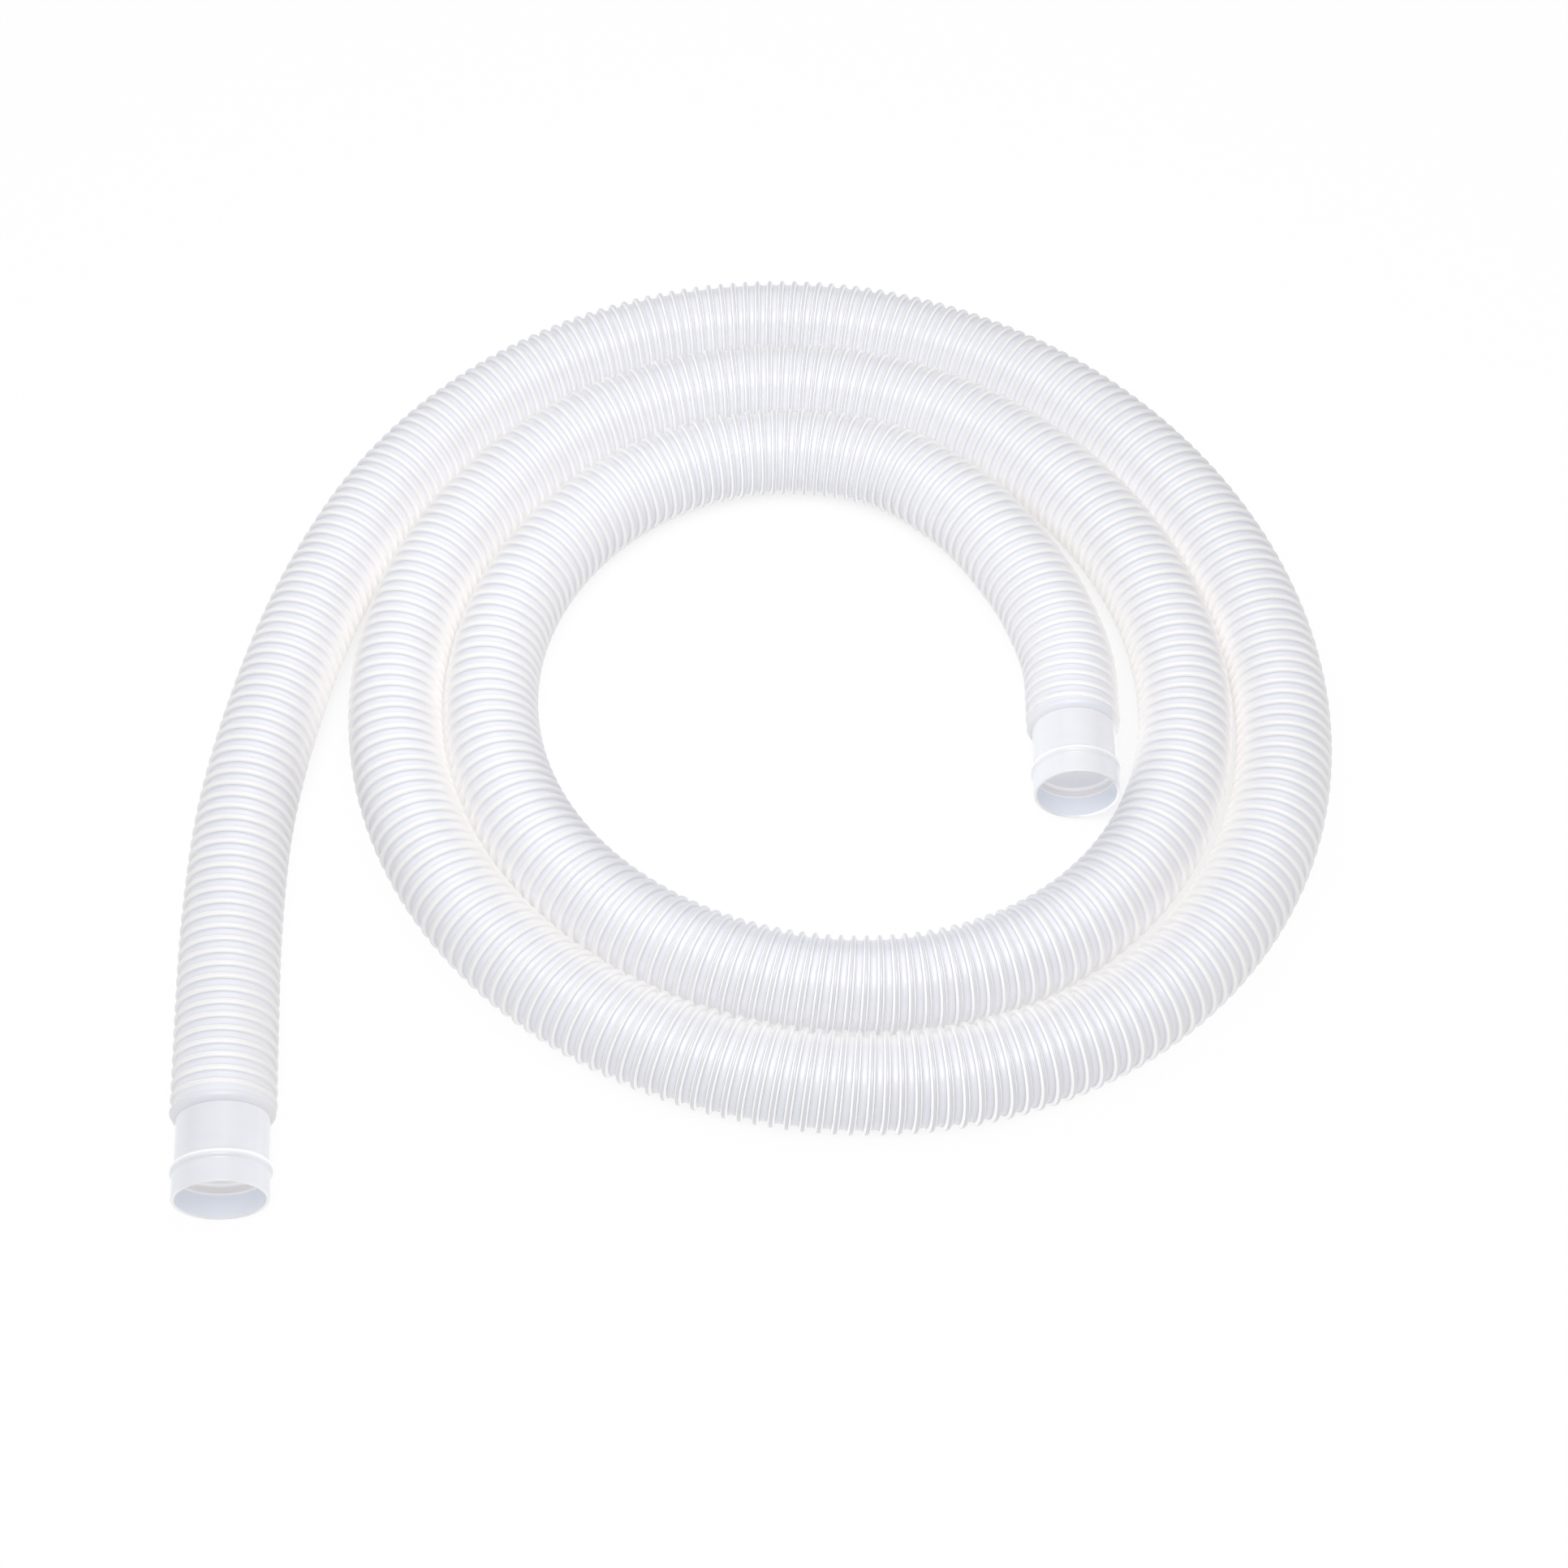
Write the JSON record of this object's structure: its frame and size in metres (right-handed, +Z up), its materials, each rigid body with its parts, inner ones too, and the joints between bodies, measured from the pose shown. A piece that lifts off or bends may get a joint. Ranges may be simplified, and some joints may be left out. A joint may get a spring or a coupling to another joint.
{
  "type": "vacuum hose",
  "caption": "Ribbed milky suction hose for a pool cleaner, laid down as a flat spiral coil, with a smooth collar and a thin socket cuff on each end.",
  "frame": {"origin": "on the floor under the middle of the coiled hose's bounding box", "axes": "+Z up from the floor the hose lies on; -Y the way the loose end's mouth faces; +X to the right of a person who looks along +Y"},
  "size_m": [0.4768, 0.4806, 0.04],
  "materials": {
    "hose": "milky polyethylene with a soft sheen",
    "collar": "milky polyethylene with a soft sheen",
    "cuff": "smooth, slightly bluish, translucent polyethylene"
  },
  "bodies": {
    "coil": {"hose_coil": "hose", "hose_inner_bend": "hose", "hose_outer_bend": "hose"},
    "inner_end": {"hose_inner_tail": "hose", "inner_collar": "collar", "inner_cuff": "cuff"},
    "outer_end": {"hose_outer_tail": "hose", "outer_collar": "collar", "outer_cuff": "cuff"}
  },
  "joints": [
    {"name": "outer_end_flex", "type": "hinge", "parent": "coil", "child": "outer_end", "pos_m": [-0.20378, 0.03621, 0.02], "axis": [0, 0, 1], "range_deg": [-25, 8], "stiffness_Nm_per_rad": 0.6, "deforming": ["hose_outer_bend"]},
    {"name": "inner_end_flex", "type": "hinge", "parent": "coil", "child": "inner_end", "pos_m": [0.09391, 0.09126, 0.02], "axis": [0, 0, 1], "range_deg": [-25, 0], "stiffness_Nm_per_rad": 0.6, "deforming": ["hose_inner_bend"]}
  ]
}
